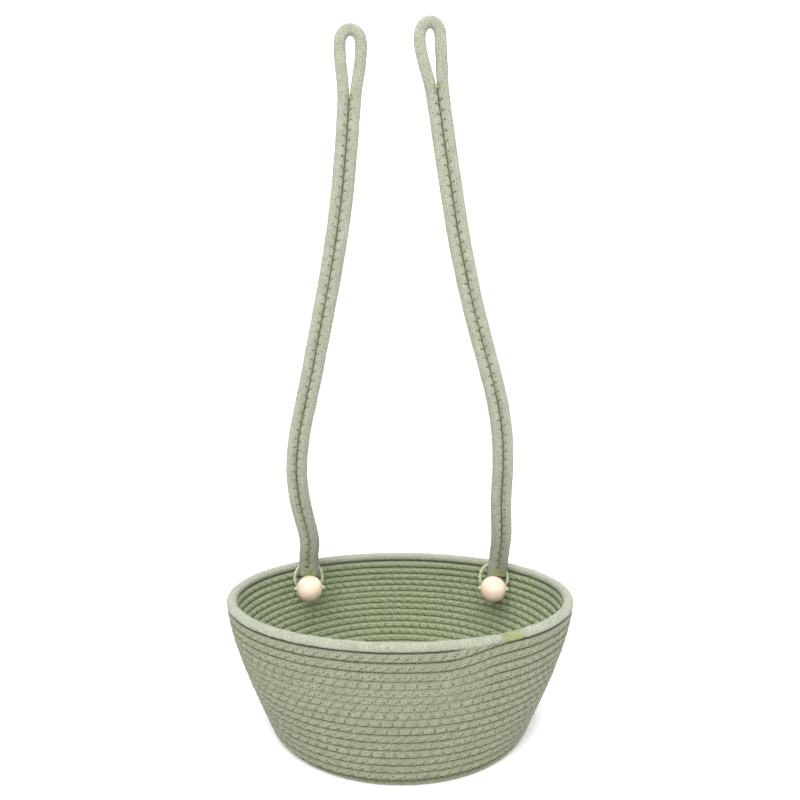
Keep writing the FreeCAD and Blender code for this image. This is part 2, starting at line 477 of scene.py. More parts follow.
def seam_tree():
    """A zigzag of thread along a groove: it dips into the rope at each needle hole."""
    tree, given, group_out = new_tree("zigzag_seam", {
        "Half Width": 0.0025, "Stand Off": 0.0030, "Dip": 0.0006, "Thread Radius": THREAD_R,
        "Spacing": 0.00085})
    count = named(tree, "stitch").split()[0]
    swing = 1.0 - (count * 2.0).math("PINGPONG", 1.0) * 2.0
    lift = given["Stand Off"] - given["Dip"] * swing.math("ABSOLUTE").smooth(DIP_FROM, 1.0)
    offset = named(tree, "up").scaled(swing * given["Half Width"])
    offset = offset.vector("ADD", named(tree, "out").scaled(lift))
    curve = moved(tree, resampled(tree, given["Geometry"], given["Spacing"]), offset)
    return end_tree(tree, given, group_out, swept(tree, curve, SEAM_SIDES, given["Thread Radius"]))


def twisted_cord_tree():
    """Two strands laid round each other along a line."""
    tree, given, group_out = new_tree("twisted_cord", {
        "Cord Radius": LOOP_CORD_R * MM, "Lay Length": 0.005, "Spacing": 0.0004})
    curve = resampled(tree, given["Geometry"], given["Spacing"])
    length = geo(tree, "SplineParameter", out="Length")
    normal = geo(tree, "InputNormal")
    binormal = normal.vector("CROSS_PRODUCT", geo(tree, "InputTangent"))
    join = tree.nodes.new("GeometryNodeJoinGeometry")
    for turn in (0.0, math.pi):
        angle = length / given["Lay Length"] * (2 * math.pi) + turn
        away = given["Cord Radius"] * STRAND_AWAY
        offset = normal.scaled(angle.math("COSINE") * away)
        offset = offset.vector("ADD", binormal.scaled(angle.math("SINE") * away))
        strand = moved(tree, curve, offset)
        strand = swept(tree, strand, STRAND_SIDES, given["Cord Radius"] * STRAND_R)
        tree.links.new(strand.socket, join.inputs[0])
    return end_tree(tree, given, group_out, Field(tree, join.outputs[0]))


def satin_wrap_tree():
    """Close turns of thread round a line: the section is round, or square at Squareness 1."""
    tree, given, group_out = new_tree("satin_wrap", {
        "Half Width": 0.0044, "Half Depth": 0.0044, "Squareness": 0.0, "Thread Radius": 0.00032})
    turn_length = given["Thread Radius"] * WRAP_PITCH
    curve = resampled(tree, given["Geometry"], turn_length / WRAP_POINTS)
    angle = geo(tree, "SplineParameter", out="Length") / turn_length * (2 * math.pi)
    power = 1.0 - given["Squareness"] * WRAP_SQUARING
    wide = angle.math("COSINE").signed_power(power) * given["Half Width"]
    deep = angle.math("SINE").signed_power(power) * given["Half Depth"]
    offset = named(tree, "up").scaled(wide).vector("ADD", named(tree, "out").scaled(deep))
    curve = moved(tree, curve, offset)
    return end_tree(tree, given, group_out, swept(tree, curve, WRAP_SIDES, given["Thread Radius"]))


def line_mesh(name, points, attributes, closed=False):
    """A mesh of edges along points in metres, with one vector for each point in each attribute."""
    edges = [(i, i + 1) for i in range(len(points) - 1)]
    if closed:
        edges.append((len(points) - 1, 0))
    mesh = bpy.data.meshes.new(name)
    mesh.from_pydata([tuple(p) for p in points], edges, [])
    for label, values in attributes.items():
        layer = mesh.attributes.new(label, "FLOAT_VECTOR", "POINT")
        layer.data.foreach_set("vector", np.asarray(values, dtype=float).ravel())
    return mesh


def grow(name, builder, mesh, inputs, material):
    """Runs a geometry tree on a line and returns its result as a plain mesh object."""
    tree = built(builder)
    source = bpy.data.objects.new(name + "_line", mesh)
    bpy.context.scene.collection.objects.link(source)
    modifier = source.modifiers.new("shape", "NODES")
    modifier.node_group = tree
    for socket in tree.interface.items_tree:
        if socket.in_out == "INPUT" and socket.name in inputs:
            modifier[socket.identifier] = inputs[socket.name]
        if socket.in_out == "INPUT" and socket.name == "Material":
            modifier[socket.identifier] = material
    ready = source.evaluated_get(bpy.context.evaluated_depsgraph_get())
    result = bpy.data.meshes.new_from_object(ready)
    bpy.data.objects.remove(source)
    bpy.data.meshes.remove(mesh)
    if len(result.polygons) == 0:
        raise RuntimeError(name + " came out empty")
    return finished_object(name, result)


def finished_object(name, mesh):
    """Faces turned outward, linked into the scene."""
    shape = bmesh.new()
    shape.from_mesh(mesh)
    bmesh.ops.recalc_face_normals(shape, faces=shape.faces)
    shape.to_mesh(mesh)
    shape.free()
    mesh.name = name
    piece = bpy.data.objects.new(name, mesh)
    bpy.context.scene.collection.objects.link(piece)
    return piece


def declare(piece, body, nodes=()):
    """Parents a piece to the empty of the body that carries it, and hides the mechanical parts it
    stands for.

    A piece without a body is left without a parent."""
    if body:
        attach(piece, body)
    if nodes:
        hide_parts(*nodes)
    return piece


# =====================================================================================
# Lines that the ropes and threads follow
# =====================================================================================
def smoothstep(low, high, value):
    part = min(max((value - low) / (high - low), 0.0), 1.0)
    return part * part * (3.0 - 2.0 * part)


def spline_through(rows, steps=24):
    """A smooth line through the rows of a table."""
    rows = [Vector(row) for row in rows]
    padded = [rows[0] * 2 - rows[1]] + rows + [rows[-1] * 2 - rows[-2]]
    line = []
    for a, b, c, d in zip(padded, padded[1:], padded[2:], padded[3:]):
        for i in range(steps):
            t = i / steps
            cubic = (d - a + (b - c) * 3) * t ** 3
            square = (a * 2 - b * 5 + c * 4 - d) * t ** 2
            line.append((b * 2 + (c - a) * t + square + cubic) * 0.5)
    line.append(rows[-1])
    return line


WALL_SPLINE = np.array([tuple(row) for row in spline_through(WALL_LINE)])
WALL_STEPS = np.hypot(np.diff(WALL_SPLINE[:, 0]), np.diff(WALL_SPLINE[:, 1]))
WALL_REACH = np.concatenate([[0.0], np.cumsum(WALL_STEPS)])


def row_outline(row):
    """Height, half width and half depth of the coil at a row number: 0 is the corner, 16 the rim."""
    if row < 0:
        return BASE_Z, WALL_LINE[0][1] + BASE_PITCH_A * row, WALL_LINE[0][2] + BASE_PITCH_B * row
    reach = WALL_REACH[-1] * min(row, WALL_TURNS) / WALL_TURNS
    return tuple(np.interp(reach, WALL_REACH, WALL_SPLINE[:, axis]) for axis in range(3))


def coil_point(row, turn):
    """A point of the coil in millimetres, for a row number and a turn counted from the tack."""
    z, half_w, half_d = row_outline(row)
    angle = math.radians(COIL_START_DEG) + 2 * math.pi * turn
    return Vector((half_w * math.cos(angle), half_d * math.sin(angle), z))


def row_at(turn):
    """Which row the rope lies in after so many turns: a plain spiral low down, level rows higher up."""
    whole = math.floor(turn)
    part = turn - whole
    level = smoothstep(LEVEL_FROM_TURN, LEVEL_FROM_TURN + LEVEL_OVER_TURNS, turn)
    late = smoothstep(1.0 - STEP_SHARE, 1.0, part)
    return whole + part * (1.0 - level) + late * level


def coil_axes(row, turn):
    """Outward and upward directions of the sewn sheet, at a point of the coil."""
    up = (coil_point(row + 0.35, turn) - coil_point(row - 0.35, turn)).normalized()
    along = (coil_point(row, turn + 0.002) - coil_point(row, turn - 0.002)).normalized()
    out = along.cross(up).normalized()
    return out, out.cross(along)


class Coil:
    """The basket's rope by length: where it lies and how many stitches run beside it."""

    def __init__(self):
        self.turns = np.linspace(-BASE_TURNS, WALL_TURNS, 6200)
        points = np.array([tuple(coil_point(row_at(t), t)) for t in self.turns])
        steps = np.linalg.norm(np.diff(points, axis=0), axis=1)
        self.lengths = np.concatenate([[0.0], np.cumsum(steps)])

    def length_at(self, turn):
        return float(np.interp(turn, self.turns, self.lengths))

    def stitches_at(self, turn):
        return self.length_at(turn) / STITCH_PITCH

    def samples(self, first, last, spacing):
        """Turns at even distances along the rope."""
        start, end = self.length_at(first), self.length_at(last)
        count = max(int((end - start) / spacing), 8)
        return np.interp(np.linspace(start, end, count), self.lengths, self.turns)


COIL = Coil()


def end_size(distance, radius):
    """Relative size of a rope near its rounded end."""
    if distance >= radius:
        return 1.0
    return max(math.sqrt(max(1.0 - (1.0 - distance / radius) ** 2, 0.0)), 0.12)


def coil_line(name, first, last):
    """The line of the basket's rope between two turns."""
    points, out_values, stitch, held = [], [], [], []
    whole = COIL.length_at(WALL_TURNS)
    for turn in COIL.samples(first, last, ROW_SPACING):
        row = row_at(turn)
        length = COIL.length_at(turn)
        out, up = coil_axes(row, turn)
        points.append(coil_point(row, turn) * MM)
        out_values.append(out)
        stitch.append((COIL.stitches_at(turn - 1.0), COIL.stitches_at(turn), length * MM))
        sewn_below = smoothstep(-BASE_TURNS + 0.8, -BASE_TURNS + 1.2, turn)
        tail = min(end_size(length, ROW_HALF_T), end_size(whole - length, ROW_HALF_T))
        held.append((sewn_below, 1.0, tail))
    return line_mesh(name, points, {"out": out_values, "stitch": stitch, "held": held})


def seam_line(name, first, last, facing):
    """The groove above the rope between two turns, on the outside (1) or the inside (-1)."""
    points, out_values, up_values, stitch = [], [], [], []
    for turn in COIL.samples(first, last, SEAM_SPACING):
        row = (row_at(turn) + row_at(turn + 1.0)) / 2
        out, up = coil_axes(row, turn)
        points.append(coil_point(row, turn) * MM)
        out_values.append(out * facing)
        up_values.append(up)
        stitch.append((COIL.stitches_at(turn), 0.0, 0.0))
    return line_mesh(name, points, {"out": out_values, "up": up_values, "stitch": stitch})


def nurbs_line(points, resolution=24):
    """Points along a smooth curve with these control points, in metres."""
    curve = bpy.data.curves.new("route", "CURVE")
    curve.dimensions = "3D"
    curve.resolution_u = resolution
    spline = curve.splines.new("NURBS")
    spline.points.add(len(points) - 1)
    for slot, point in zip(spline.points, points):
        slot.co = (*point, 1.0)
    spline.order_u = 3
    spline.use_endpoint_u = True
    holder = bpy.data.objects.new("route", curve)
    bpy.context.scene.collection.objects.link(holder)
    ready = holder.evaluated_get(bpy.context.evaluated_depsgraph_get())
    mesh = bpy.data.meshes.new_from_object(ready)
    line = [vertex.co.copy() for vertex in mesh.vertices]
    bpy.data.objects.remove(holder)
    bpy.data.curves.remove(curve)
    bpy.data.meshes.remove(mesh)
    return line


def lengths_along(line):
    steps = [(b - a).length for a, b in zip(line, line[1:])]
    return np.concatenate([[0.0], np.cumsum(steps)])


def evenly(line, spacing):
    """The same line with points at even distances, and the distance of each."""
    lengths = lengths_along(line)
    count = max(int(lengths[-1] / spacing), 8)
    targets = np.linspace(0.0, lengths[-1], count + 1)
    flat = np.array([tuple(p) for p in line])
    columns = [np.interp(targets, lengths, flat[:, axis]) for axis in range(3)]
    return [Vector(p) for p in zip(*columns)], targets


def tangents(points):
    """Direction of travel at each point."""
    ahead = points[1:] + [points[-1]]
    behind = [points[0]] + points[:-1]
    return [(b - a).normalized() for a, b in zip(behind, ahead)]


def square_to(direction, along):
    """The part of a direction that is square to the line."""
    return (direction - along * direction.dot(along)).normalized()


# =====================================================================================
# Materials
# =====================================================================================
def knit_group():
    """Fine knitted cotton round a rope: columns of small V stitches."""
    tree, given, group_out = new_group("cotton_knit", "ShaderNodeTree", {
        "Ring": "Vector", "Length": 0.0, "Columns": 22.0, "Stitch Length": 0.0016, "Slant": 0.8,
    }, {"Height": "Float", "Shade": "Float"})
    outward, upward, _ = given["Ring"].split()
    column = upward.math("ARCTAN2", outward) / (2 * math.pi) * given["Columns"]
    side = column.wrapped().math("ABSOLUTE") * 2.0
    course = given["Length"] / given["Stitch Length"] + side * given["Slant"]
    stitch = course.wrapped().math("ABSOLUTE") * 2.0
    bulge = (1.0 - stitch * stitch) * (0.4 + side.math("MULTIPLY", 0.6))
    valley = (1.0 - side).math("POWER", 6.0)
    plug(tree, group_out.inputs["Height"], bulge - valley * 0.6)
    plug(tree, group_out.inputs["Shade"], (stitch.math("POWER", 3.0) * 0.6 + valley * 0.5).clamped())
    return tree


def stitch_marks_group():
    """Where the needle pulls the rope in, and the grooves between the rows."""
    tree, given, group_out = new_group("stitch_marks", "ShaderNodeTree", {
        "Ring": "Vector", "Stitch": "Vector", "Held": "Vector",
        "Slot Width": 0.09, "Slot Slant": 0.36, "Hole Height": ROW_HOLE, "Groove Edge": 0.84,
    }, {"Slot": "Float", "Hole": "Float", "Groove": "Float"})
    upward = given["Ring"].split()[1]
    held_below, held_above, _ = given["Held"].split()
    slots, holes = stitch_fields(
        given["Ring"], given["Stitch"], given["Held"],
        given["Slot Width"], given["Slot Slant"], given["Hole Height"])
    edge = given["Groove Edge"]
    low_groove = (0.0 - upward).smooth(edge - GROOVE_FADE, edge) * held_below
    high_groove = upward.smooth(edge - GROOVE_FADE, edge) * held_above
    plug(tree, group_out.inputs["Slot"], slots.clamped())
    plug(tree, group_out.inputs["Hole"], holes)
    plug(tree, group_out.inputs["Groove"], (low_groove + high_groove).clamped())
    return tree


def mottle_group():
    """Soft unevenness of colour in dyed cotton."""
    tree, given, group_out = new_group("cotton_mottle", "ShaderNodeTree", {
        "Coarse": 110.0, "Fine": 1100.0}, {"Shade": "Float", "Fuzz": "Float"})
    place = made(tree, "ShaderNodeTexCoord", out="Object")
    coarse = noise(tree, place, given["Coarse"], 3.0)
    plug(tree, group_out.inputs["Shade"], coarse.smooth(0.3, 0.7))
    plug(tree, group_out.inputs["Fuzz"], noise(tree, place, given["Fine"], 2.0))
    return tree


def new_material(name):
    """An empty node material: returns it, its tree and its Principled shader."""
    material = bpy.data.materials.new(name)
    material.use_nodes = True
    return material, material.node_tree, material.node_tree.nodes["Principled BSDF"]


def use_group(tree, builder, inputs):
    """A group's outputs, as fields."""
    node = add_node(tree, "ShaderNodeGroup", node_tree=built(builder))
    for name, value in inputs.items():
        plug(tree, node.inputs[name], value)
    return {socket.name: Field(tree, socket) for socket in node.outputs}


def mesh_attribute(tree, name):
    return made(tree, "ShaderNodeAttribute", attribute_name=name, out="Vector")


def blend_colours(tree, amount, first, second):
    """The first colour at 0, the second at 1."""
    return made(tree, "ShaderNodeMix", {0: amount, 6: first, 7: second}, 2, data_type="RGBA")


def cloth_finish(shader, roughness, sheen):
    shader.inputs["Roughness"].default_value = roughness
    shader.inputs["Specular IOR Level"].default_value = 0.2
    shader.inputs["Sheen Weight"].default_value = sheen
    shader.inputs["Sheen Roughness"].default_value = 0.5


def bumped(tree, shader, height, distance, strength=1.0):
    inputs = {"Height": height, "Distance": distance, "Strength": strength}
    plug(tree, shader.inputs["Normal"], made(tree, "ShaderNodeBump", inputs))


def rgba(colour, factor=1.0):
    return (*(part * factor for part in colour), 1.0)


def rope_material(name, colour, inside, shadow, columns, stitch_length, marks):
    """Knitted cotton rope with stitch marks, lighter and greener on its inward side as painted bounce
    light.

    The marks are the slot's width and slant, the hole's height and the groove's edge. Slots, holes
    and grooves are darkened towards the shadow colour as painted shade."""
    material, tree, shader = new_material(name)
    ring = mesh_attribute(tree, "ring")
    stitch = mesh_attribute(tree, "stitch")
    knit = use_group(tree, knit_group, {
        "Ring": ring, "Length": stitch.split()[2], "Columns": columns, "Stitch Length": stitch_length})
    width, slant, hole_height, edge = marks
    sewn = use_group(tree, stitch_marks_group, {
        "Ring": ring, "Stitch": stitch, "Held": mesh_attribute(tree, "held"),
        "Slot Width": width, "Slot Slant": slant, "Hole Height": hole_height, "Groove Edge": edge})
    mottle = use_group(tree, mottle_group, {})
    strength = mottle["Shade"] * 0.5 + 0.5
    slot = sewn["Slot"] * strength
    hole = sewn["Hole"] * strength
    body = blend_colours(tree, mottle["Shade"], rgba(colour, 0.92), rgba(colour, 1.06))
    # Painted bounce light: the inward side of the rope is blended towards the lighter, greener inside
    # colour.
    inner = 1.0 - ring.split()[0].smooth(-0.4, 0.1)
    body = blend_colours(tree, inner, body, rgba(inside))
    # The knit's valleys and stitch ends are darkened as painted shade, and the fuzz varies the tone at
    # random.
    knit_shade_and_fuzz = knit["Shade"] * 0.6 + (mottle["Fuzz"] - 0.5) * 2.0 + 0.1
    # Slots, needle holes and grooves are darkened towards the shadow colour as painted shade, the
    # grooves less on the inward side as painted bounce light.
    shade = (knit_shade_and_fuzz + slot * 0.3 + hole + sewn["Groove"] * (0.75 - inner * 0.5)).clamped()
    plug(tree, shader.inputs["Base Color"], blend_colours(tree, shade, body, rgba(shadow)))
    bumped(tree, shader, knit["Height"] * 0.6 + mottle["Fuzz"] * 0.7 - slot * 0.6 - hole * 1.6, 0.0011)
    cloth_finish(shader, 0.9, 0.25)
    return material


def thread_material(name, colour):
    """Sewing thread or thin cord, with a fine fuzz."""
    material, tree, shader = new_material(name)
    mottle = use_group(tree, mottle_group, {"Coarse": 300.0, "Fine": 3000.0})
    body = blend_colours(tree, mottle["Shade"], rgba(colour, 0.72), rgba(colour))
    plug(tree, shader.inputs["Base Color"], body)
    bumped(tree, shader, mottle["Fuzz"], 0.0002)
    cloth_finish(shader, 0.75, 0.15)
    return material


def wood_material(name, colour):
    """Pale turned wood with faint rings."""
    material, tree, shader = new_material(name)
    place = made(tree, "ShaderNodeTexCoord", out="Object")
    stretch = place.vector("MULTIPLY", (60.0, 60.0, 420.0))
    grain = noise(tree, stretch, 1.0, 4.0)
    pores = noise(tree, stretch, 7.0, 2.0)
    dark = (colour[0] * 0.92, colour[1] * 0.84, colour[2] * 0.74)
    shade = (grain.smooth(0.35, 0.75) * 0.6 + pores.smooth(0.6, 0.8) * 0.3).clamped()
    plug(tree, shader.inputs["Base Color"], blend_colours(tree, shade, rgba(colour), rgba(dark)))
    plug(tree, shader.inputs["Roughness"], 0.42 + grain * 0.12)
    bumped(tree, shader, pores, 0.0001, 0.4)
    return material


def plain_material(name, colour, roughness):
    material, tree, shader = new_material(name)
    shader.inputs["Base Color"].default_value = rgba(colour)
    shader.inputs["Roughness"].default_value = roughness
    return material


MATERIALS = {}


def make_materials(colours):
    """The six finishes of the object."""
    for name, colour, inside, columns, stitch_length, marks in (
        ("cotton_rope", colours.rope, colours.inside, 13.0, 0.0026, (0.08, 0.36, ROW_HOLE, 0.9)),
        ("strap_rope", colours.strap, colours.strap, 16.0, 0.0021, (0.08, 0.5, STRAP_HOLE, 0.93)),
        ("rim_cotton_rope", colours.rim, colours.rim, 18.0, 0.0020, (0.05, 0.3, RIM_HOLE, 0.95)),
    ):
        MATERIALS[name] = rope_material(
            name, colour, inside, colours.groove, columns, stitch_length, marks)
    MATERIALS["thin_cord"] = thread_material("thin_cord", colours.cord)
    MATERIALS["sewing_thread"] = thread_material("sewing_thread", colours.thread)
    MATERIALS["bead_wood"] = wood_material("bead_wood", colours.bead)


# =====================================================================================
# Settings shown in the sidebar
# =====================================================================================
def size_property(name, description, default, low, high):
    return bpy.props.FloatProperty(
        name=name, description=description, default=default, min=low, max=high, unit="LENGTH")


def colour_property(name, description, default):
    return bpy.props.FloatVectorProperty(
        name=name, description=description, default=default, size=3, min=0.0, max=1.0, subtype="COLOR")


class BasketSizes(bpy.types.PropertyGroup):
    """Sizes of the sewn rope"""

    row_half_thickness: size_property(
        "Row half thickness", "Half the thickness of a sewn row, in and out", ROW_HALF_T * MM,
        0.002, 0.006)
    row_half_height: size_property(
        "Row half height", "Half the height of a sewn row", ROW_HALF_H * MM, 0.002, 0.006)
    rim_radius: size_property(
        "Rim radius", "Radius of the rope round the rim", RIM_R * MM, 0.003, 0.006)
    strap_radius: size_property(
        "Strap radius", "Radius of the rope in the straps", STRAP_R * MM, 0.003, 0.006)
    thread_radius: size_property(
        "Thread radius", "Radius of the sewing thread", THREAD_R, 0.0001, 0.0006)
    bead_radius: size_property("Bead radius", "Radius of the wooden beads", BEAD_R * MM, 0.006, 0.012)


class BasketColours(bpy.types.PropertyGroup):
    """Colours of the finishes"""

    rope: colour_property("Basket rope", "Dyed cotton of the coiled wall", (0.335, 0.362, 0.25))
    # The inside colour is painted bounce light: the wall's inner face is drawn lighter and greener than
    # the rope.
    inside: colour_property("Inside", "The wall's inner face, a fresher green", (0.49, 0.58, 0.34))
    groove: colour_property("Groove", "Shadowed cotton in the seams", (0.10, 0.12, 0.05))
    strap: colour_property("Strap rope", "Cotton rope of the straps", (0.465, 0.49, 0.375))
    rim: colour_property("Rim rope", "Cotton rope of the rim", (0.53, 0.565, 0.43))
    cord: colour_property("Thin cord", "Button loops and bead cords", (0.58, 0.64, 0.43))
    thread: colour_property("Sewing thread", "Zigzag seams and tacks", (0.29, 0.32, 0.145))
    bead: colour_property("Bead wood", "Pale turned wood", (0.78, 0.62, 0.49))
    floor: colour_property("Floor", "The stage under the basket", (0.96, 0.96, 0.96))


# =====================================================================================
# Operators, one for each group of pieces
# =====================================================================================
class OBJECT_OT_basket_finishes(bpy.types.Operator):
    """Make the materials of the basket"""

    bl_idname = "object.basket_finishes"
    bl_label = "Finishes"

    def execute(self, context):
        make_materials(context.scene.basket_colours)
        return {"FINISHED"}


class OBJECT_OT_basket_coil(bpy.types.Operator):
    """Coil the base and the wall from one rope"""

    bl_idname = "object.basket_coil"
    bl_label = "Coiled base and wall"

    def execute(self, context):
        sizes = context.scene.basket_sizes
        inputs = {
            "Half Thickness": sizes.row_half_thickness,
            "Half Height": sizes.row_half_height,
            "Sides": ROW_SIDES,
        }
        low, high = WALL_SPLITS
        stretches = {
            "base_coil": (-BASE_TURNS, 0.0, ["basket_base"]),
            "wall_rows_lower": (0.0, low, ["basket_wall"]),
            "wall_rows_middle": (low, high, []),
            "wall_rows_upper": (high, WALL_TURNS - 0.004, []),
        }
        for name, (first, last, nodes) in stretches.items():
            line = coil_line(name, first, last)
            piece = grow(name, rope_tree, line, inputs, MATERIALS["cotton_rope"])
            declare(piece, "basket", nodes)
        return {"FINISHED"}


class OBJECT_OT_basket_seams(bpy.types.Operator):
    """Sew the rows together with zigzag thread"""

    bl_idname = "object.basket_seams"
    bl_label = "Zigzag seams"

    def execute(self, context):
        inputs = {"Thread Radius": context.scene.basket_sizes.thread_radius}
        stretches = {
            "base_seam_under": (1.0 - BASE_TURNS, -1.0, 1.0),
            "base_seam_inside": (1.0 - BASE_TURNS, -1.0, -1.0),
            "wall_seam_outside": (-1.0, WALL_TURNS - 1.0, 1.0),
            "wall_seam_inside": (-1.0, WALL_TURNS - 1.0, -1.0),
        }
        for name, (first, last, facing) in stretches.items():
            line = seam_line(name, first, last, facing)
            piece = grow(name, seam_tree, line, inputs, MATERIALS["sewing_thread"])
            declare(piece, "basket")
        return {"FINISHED"}


def rim_point(angle):
    return Vector((RIM_A * math.cos(angle), RIM_B * math.sin(angle), RIM_Z)) * MM


def rim_out(angle):
    return Vector((math.cos(angle) / RIM_A, math.sin(angle) / RIM_B, 0.0)).normalized()


class OBJECT_OT_basket_rim(bpy.types.Operator):
    """Lay the rim rope and tack its end down"""

    bl_idname = "object.basket_rim"
    bl_label = "Rim rope and tack"

    def execute(self, context):
        radius = context.scene.basket_sizes.rim_radius
        self.rope(radius)
        self.tack(radius)
        return {"FINISHED"}

    def rope(self, radius):
        count = 1000
        start = math.radians(COIL_START_DEG)
        points, out_values, stitch, held = [], [], [], []
        length = 0.0
        for i in range(count):
            angle = start + 2 * math.pi * i / count
            points.append(rim_point(angle))
            if i:
                length += (points[i] - points[i - 1]).length
            turn = WALL_TURNS + i / count
            out_values.append(rim_out(angle))
            stitch.append((COIL.stitches_at(turn - 1.0), 0.0, length))
            away = abs(math.degrees(angle) - RIM_TACK_DEG)
            away = min(away, 360 - away) / RIM_TACK_SPAN_DEG
            held.append((1.0, 0.0, 1.0 - RIM_TACK_PINCH * smoothstep(0.9, 0.45, away)))
        attributes = {"out": out_values, "stitch": stitch, "held": held}
        line = line_mesh("rim", points, attributes, closed=True)
        inputs = {
            "Half Thickness": radius, "Half Height": radius * RIM_PRESS, "Sides": ROPE_SIDES,
            "Flatness": 0.0, "Slot Depth": 0.08, "Hole Height": RIM_HOLE, "Pillow": 0.03,
        }
        piece = grow("rim_rope_laid", rope_tree, line, inputs, MATERIALS["rim_cotton_rope"])
        declare(piece, "basket", ["rim_rope"])

    def tack(self, radius):
        half = RIM_TACK_SPAN_DEG / 2
        points, out_values, up_values = [], [], []
        for step in range(41):
            angle = math.radians(RIM_TACK_DEG - half + RIM_TACK_SPAN_DEG * step / 40)
            points.append(rim_point(angle))
            out_values.append(rim_out(angle))
            up_values.append(Vector((0, 0, 1)))
        line = line_mesh("rim_tack", points, {"out": out_values, "up": up_values})
        size = radius * (1.0 - RIM_TACK_PINCH) + 0.0001
        inputs = {"Half Width": size * RIM_PRESS, "Half Depth": size, "Thread Radius": 0.0003}
        piece = grow("rim_tack_thread", satin_wrap_tree, line, inputs, MATERIALS["sewing_thread"])
        declare(piece, "basket", ["rim_tack"])


def strap_route(side):
    """Up one leg, round the hanging loop and down the other, in metres."""
    up = [Vector((x - gap, y, z)) * MM for x, y, z, gap in STRAPS[side]]
    down = [Vector((x + gap, y, z)) * MM for x, y, z, gap in STRAPS[side]]
    return up + down[::-1]


def strap_centre(side):
    """The seam between the two legs, up to the neck of the hanging loop."""
    rows = STRAPS[side][:NECK_ROW[side] + 2]
    return nurbs_line([Vector(row[:3]) * MM for row in rows])


class OBJECT_OT_basket_straps(bpy.types.Operator):
    """Lay each strap: one rope doubled back, sewn down its middle and tacked at both ends"""

    bl_idname = "object.basket_straps"
    bl_label = "Straps"

    def execute(self, context):
        sizes = context.scene.basket_sizes
        for side in SIDE_SIGN:
            self.rope(side, sizes.strap_radius)
            self.seams(side, sizes)
            self.tacks(side)
        return {"FINISHED"}

    def rope(self, side, radius):
        line = nurbs_line(strap_route(side))
        points, distances = evenly(line, 0.0008)
        neck_z = STRAPS[side][NECK_ROW[side]][2] * MM
        pitch = STRAP_STITCH_PITCH * MM
        directions = tangents(points)
        middle = len(points) // 2
        out_values, stitch, held = [], [], []
        for i, (point, along, distance) in enumerate(zip(points, directions, distances)):
            sewn = smoothstep(neck_z + 0.004, neck_z - 0.006, point.z) if point.z > 0.3 else 1.0
            count = point.z / pitch + (0.5 if i > middle else 0.0)
            out_values.append(square_to(Vector((0, -1, 0)), along))
            stitch.append((count, 0.0, distance))
            tail = min(end_size(distance, radius), end_size(distances[-1] - distance, radius))
            held.append((sewn, 0.0, tail))
        mesh = line_mesh("strap", points, {"out": out_values, "stitch": stitch, "held": held})
        inputs = {
            "Half Thickness": radius, "Half Height": radius * STRAP_PRESS, "Sides": ROPE_SIDES,
            "Flatness": 0.0, "Slot Depth": 0.1, "Slot Slant": 0.5, "Hole Height": STRAP_HOLE,
            "Pillow": 0.02,
        }
        piece = grow(side + "_strap_rope_laid", rope_tree, mesh, inputs, MATERIALS["strap_rope"])
        declare(piece, None, [side + "_strap_rope"])
        self.bend_at_loop(piece, side)

    def bend_at_loop(self, piece, side):
        """Bakes the piece's placement into its mesh; the rope is not made to bend."""
        side + "_button_loop"
        side + "_strap"
        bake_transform(piece)

    def seams(self, side, sizes):
        points, distances = evenly(strap_centre(side), 0.001)
        neck_z = STRAPS[side][NECK_ROW[side]][2] * MM
        kept = [p for p in points if SEAM_FROM_Z * MM < p.z < neck_z]
        pitch = STRAP_STITCH_PITCH * MM
        for label, facing in (("front", -1.0), ("back", 1.0)):
            out_values, up_values, stitch = [], [], []
            for point, along in zip(kept, tangents(kept)):
                front = square_to(Vector((0, -1, 0)), along)
                out_values.append(front * -facing)
                up_values.append(front.cross(along))
                stitch.append((point.z / pitch, 0.0, 0.0))
            mesh = line_mesh("strap_seam", kept, {"out": out_values, "up": up_values, "stitch": stitch})
            inputs = {
                "Thread Radius": sizes.thread_radius, "Half Width": 0.0022, "Stand Off": 0.0029,
                "Dip": 0.0004}
            name = side + "_strap_seam_" + label
            piece = grow(name, seam_tree, mesh, inputs, MATERIALS["sewing_thread"])
            declare(piece, side + "_strap")

    def tacks(self, side):
        """Close bars of thread across the lower end, and a few crossing threads at the neck."""
        low, high = (Vector(row[:3]) for row in STRAPS[side][:2])
        points = []
        for z in np.linspace(*TACK_BAND, 21):
            points.append(low.lerp(high, (z - low.z) / (high.z - low.z)) * MM)
        mesh = line_mesh("end_tack", points, self.facing_front(points))
        inputs = {
            "Half Width": 0.0042, "Half Depth": 0.0044, "Squareness": 1.0, "Thread Radius": 0.00027}
        name = side + "_end_tack_thread"
        piece = grow(name, satin_wrap_tree, mesh, inputs, MATERIALS["sewing_thread"])
        declare(piece, None, [side + "_end_tack"])
        self.bend_at_loop(piece, side)

        neck = Vector(STRAPS[side][NECK_ROW[side]][:3])
        count = 31
        shares = [i / (count - 1) for i in range(count)]
        points = [(neck + Vector((0, 0, LOOP_TACK_LOW + LOOP_TACK_HEIGHT * t))) * MM for t in shares]
        attributes = self.facing_front(points)
        attributes["stitch"] = [(t * LOOP_TACK_TURNS, 0.0, 0.0) for t in shares]
        mesh = line_mesh("loop_tack", points, attributes)
        inputs = {
            "Half Width": 0.0034, "Stand Off": 0.0041, "Dip": 0.0014, "Thread Radius": 0.00028,
            "Spacing": 0.00008}
        piece = grow(side + "_loop_tack_thread", seam_tree, mesh, inputs, MATERIALS["sewing_thread"])
        declare(piece, side + "_strap", [side + "_loop_tack"])

    def facing_front(self, points):
        return {"out": [Vector((0, -1, 0))] * len(points), "up": [Vector((1, 0, 0))] * len(points)}


